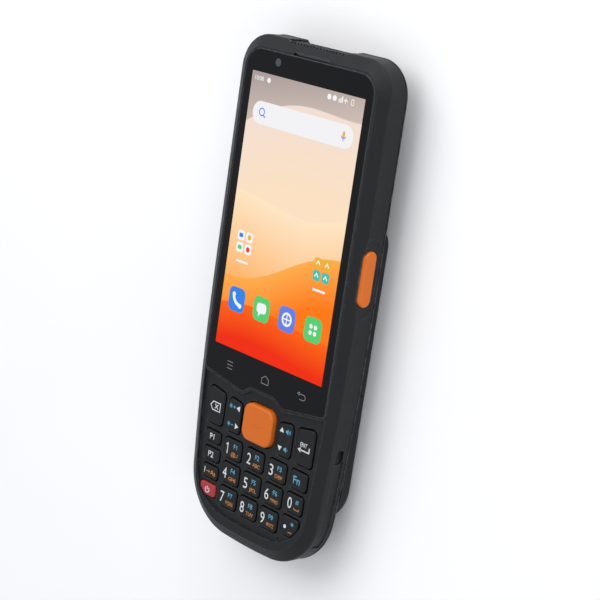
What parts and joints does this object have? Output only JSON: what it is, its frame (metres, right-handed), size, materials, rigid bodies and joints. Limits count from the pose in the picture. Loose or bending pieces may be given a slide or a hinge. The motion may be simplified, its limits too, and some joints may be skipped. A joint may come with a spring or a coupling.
{
  "type": "portable barcode data terminal",
  "caption": "Hand-held data terminal with portrait touch screen, phone keypad, orange scan keys, removable battery and a scan window in the top end.",
  "frame": {"origin": "under the middle of the body, on the flat back of the battery", "axes": "+Z out of the screen, +Y towards the top end with the scan window, +X to the right of the screen"},
  "size_m": [0.0663, 0.1629, 0.018],
  "materials": {
    "housing_plastic": "fine matte texture",
    "seal_rubber": "matte",
    "cover_glass": "polished, black print behind",
    "adhesive": "matte",
    "display": "lit picture",
    "frame_metal": "cast",
    "module_black": "matte",
    "mesh_metal": "black mesh",
    "camera_lens": "gloss",
    "orange_key": "satin",
    "red_key": "satin",
    "key_plastic": "satin",
    "keypad_rubber": "matte",
    "dome_steel": "satin",
    "circuit_board": "solder mask",
    "flex_film": "film",
    "shield_steel": "plated",
    "gold_contact": "plated",
    "battery_plastic": "fine matte texture",
    "latch_plastic": "satin",
    "scan_window": "dark tinted, clear gloss",
    "flash_lens": "frosted",
    "flap_rubber": "matte",
    "screw_steel": "black zinc"
  },
  "bodies": {
    "root": {"front_housing": "housing_plastic", "rear_housing": "housing_plastic", "housing_gasket": "seal_rubber", "cover_glass": "cover_glass", "glass_adhesive": "adhesive", "lcd_module": "display", "inner_frame": "frame_metal", "earpiece": "module_black", "earpiece_mesh": "mesh_metal", "front_camera": "camera_lens", "keypad_mat": "keypad_rubber", "key_domes": "dome_steel", "keypad_board": "circuit_board", "keypad_flex": "flex_film", "display_flex": "flex_film", "main_board": "circuit_board", "shield_cans": "shield_steel", "side_switch": "module_black", "battery_contacts": "gold_contact", "sim_socket": "shield_steel", "nfc_antenna": "flex_film", "scan_bezel": "housing_plastic", "scan_window": "scan_window", "scan_engine": "module_black", "rear_camera": "module_black", "camera_window": "camera_lens", "flash_window": "flash_lens", "rear_speaker": "module_black", "vibration_motor": "shield_steel", "microphone": "shield_steel", "usb_port": "shield_steel", "flap_pin": "dome_steel", "dock_contacts": "gold_contact", "housing_screws": "screw_steel"},
    "key_backspace": {"key_backspace": "key_plastic"},
    "key_enter": {"key_enter": "key_plastic"},
    "key_1": {"key_1": "key_plastic"},
    "key_2": {"key_2": "key_plastic"},
    "key_3": {"key_3": "key_plastic"},
    "key_4": {"key_4": "key_plastic"},
    "key_5": {"key_5": "key_plastic"},
    "key_6": {"key_6": "key_plastic"},
    "key_7": {"key_7": "key_plastic"},
    "key_8": {"key_8": "key_plastic"},
    "key_9": {"key_9": "key_plastic"},
    "key_p1": {"key_p1": "key_plastic"},
    "key_p2": {"key_p2": "key_plastic"},
    "key_case": {"key_case": "key_plastic"},
    "key_power": {"key_power": "red_key"},
    "key_fn": {"key_fn": "key_plastic"},
    "key_0": {"key_0": "key_plastic"},
    "key_dot": {"key_dot": "key_plastic"},
    "key_scan": {"key_scan": "orange_key"},
    "rocker_left": {"rocker_left": "key_plastic"},
    "rocker_right": {"rocker_right": "key_plastic"},
    "side_key": {"side_key": "orange_key"},
    "battery": {"battery_pack": "battery_plastic"},
    "latch": {"battery_latch": "latch_plastic"},
    "flap": {"port_flap": "flap_rubber"}
  },
  "joints": [
    {"name": "key_backspace_press", "type": "slide", "parent": "root", "child": "key_backspace", "axis": [0, 0, -1], "range_m": [0, 0.0005], "stiffness_N_per_m": 500},
    {"name": "key_enter_press", "type": "slide", "parent": "root", "child": "key_enter", "axis": [0, 0, -1], "range_m": [0, 0.0005], "stiffness_N_per_m": 500},
    {"name": "key_1_press", "type": "slide", "parent": "root", "child": "key_1", "axis": [0, 0, -1], "range_m": [0, 0.0005], "stiffness_N_per_m": 500},
    {"name": "key_2_press", "type": "slide", "parent": "root", "child": "key_2", "axis": [0, 0, -1], "range_m": [0, 0.0005], "stiffness_N_per_m": 500},
    {"name": "key_3_press", "type": "slide", "parent": "root", "child": "key_3", "axis": [0, 0, -1], "range_m": [0, 0.0005], "stiffness_N_per_m": 500},
    {"name": "key_4_press", "type": "slide", "parent": "root", "child": "key_4", "axis": [0, 0, -1], "range_m": [0, 0.0005], "stiffness_N_per_m": 500},
    {"name": "key_5_press", "type": "slide", "parent": "root", "child": "key_5", "axis": [0, 0, -1], "range_m": [0, 0.0005], "stiffness_N_per_m": 500},
    {"name": "key_6_press", "type": "slide", "parent": "root", "child": "key_6", "axis": [0, 0, -1], "range_m": [0, 0.0005], "stiffness_N_per_m": 500},
    {"name": "key_7_press", "type": "slide", "parent": "root", "child": "key_7", "axis": [0, 0, -1], "range_m": [0, 0.0005], "stiffness_N_per_m": 500},
    {"name": "key_8_press", "type": "slide", "parent": "root", "child": "key_8", "axis": [0, 0, -1], "range_m": [0, 0.0005], "stiffness_N_per_m": 500},
    {"name": "key_9_press", "type": "slide", "parent": "root", "child": "key_9", "axis": [0, 0, -1], "range_m": [0, 0.0005], "stiffness_N_per_m": 500},
    {"name": "key_p1_press", "type": "slide", "parent": "root", "child": "key_p1", "axis": [0, 0, -1], "range_m": [0, 0.0005], "stiffness_N_per_m": 500},
    {"name": "key_p2_press", "type": "slide", "parent": "root", "child": "key_p2", "axis": [0, 0, -1], "range_m": [0, 0.0005], "stiffness_N_per_m": 500},
    {"name": "key_case_press", "type": "slide", "parent": "root", "child": "key_case", "axis": [0, 0, -1], "range_m": [0, 0.0005], "stiffness_N_per_m": 500},
    {"name": "key_power_press", "type": "slide", "parent": "root", "child": "key_power", "axis": [0, 0, -1], "range_m": [0, 0.0005], "stiffness_N_per_m": 500},
    {"name": "key_fn_press", "type": "slide", "parent": "root", "child": "key_fn", "axis": [0, 0, -1], "range_m": [0, 0.0005], "stiffness_N_per_m": 500},
    {"name": "key_0_press", "type": "slide", "parent": "root", "child": "key_0", "axis": [0, 0, -1], "range_m": [0, 0.0005], "stiffness_N_per_m": 500},
    {"name": "key_dot_press", "type": "slide", "parent": "root", "child": "key_dot", "axis": [0, 0, -1], "range_m": [0, 0.0005], "stiffness_N_per_m": 500},
    {"name": "key_scan_press", "type": "slide", "parent": "root", "child": "key_scan", "axis": [0, 0, -1], "range_m": [0, 0.0005], "stiffness_N_per_m": 700},
    {"name": "rocker_left_tilt", "type": "hinge", "parent": "root", "child": "rocker_left", "pos_m": [-0.012, -0.0403, 0.0145], "axis": [1, 0, 0], "range_deg": [-4, 4], "stiffness_Nm_per_rad": 0.02},
    {"name": "rocker_right_tilt", "type": "hinge", "parent": "root", "child": "rocker_right", "pos_m": [0.012, -0.0403, 0.0145], "axis": [1, 0, 0], "range_deg": [-4, 4], "stiffness_Nm_per_rad": 0.02},
    {"name": "side_key_press", "type": "slide", "parent": "root", "child": "side_key", "axis": [-1, 0, 0], "range_m": [0, 0.0005], "stiffness_N_per_m": 700},
    {"name": "battery_removal", "type": "slide", "parent": "root", "child": "battery", "axis": [0, 0, -1], "range_m": [0, 0.02]},
    {"name": "battery_latch_slide", "type": "slide", "parent": "battery", "child": "latch", "axis": [0, -1, 0], "range_m": [0, 0.003], "stiffness_N_per_m": 400},
    {"name": "port_flap_hinge", "type": "hinge", "parent": "root", "child": "flap", "pos_m": [0, -0.08045, 0.0091], "axis": [1, 0, 0], "range_deg": [0, 90]}
  ]
}
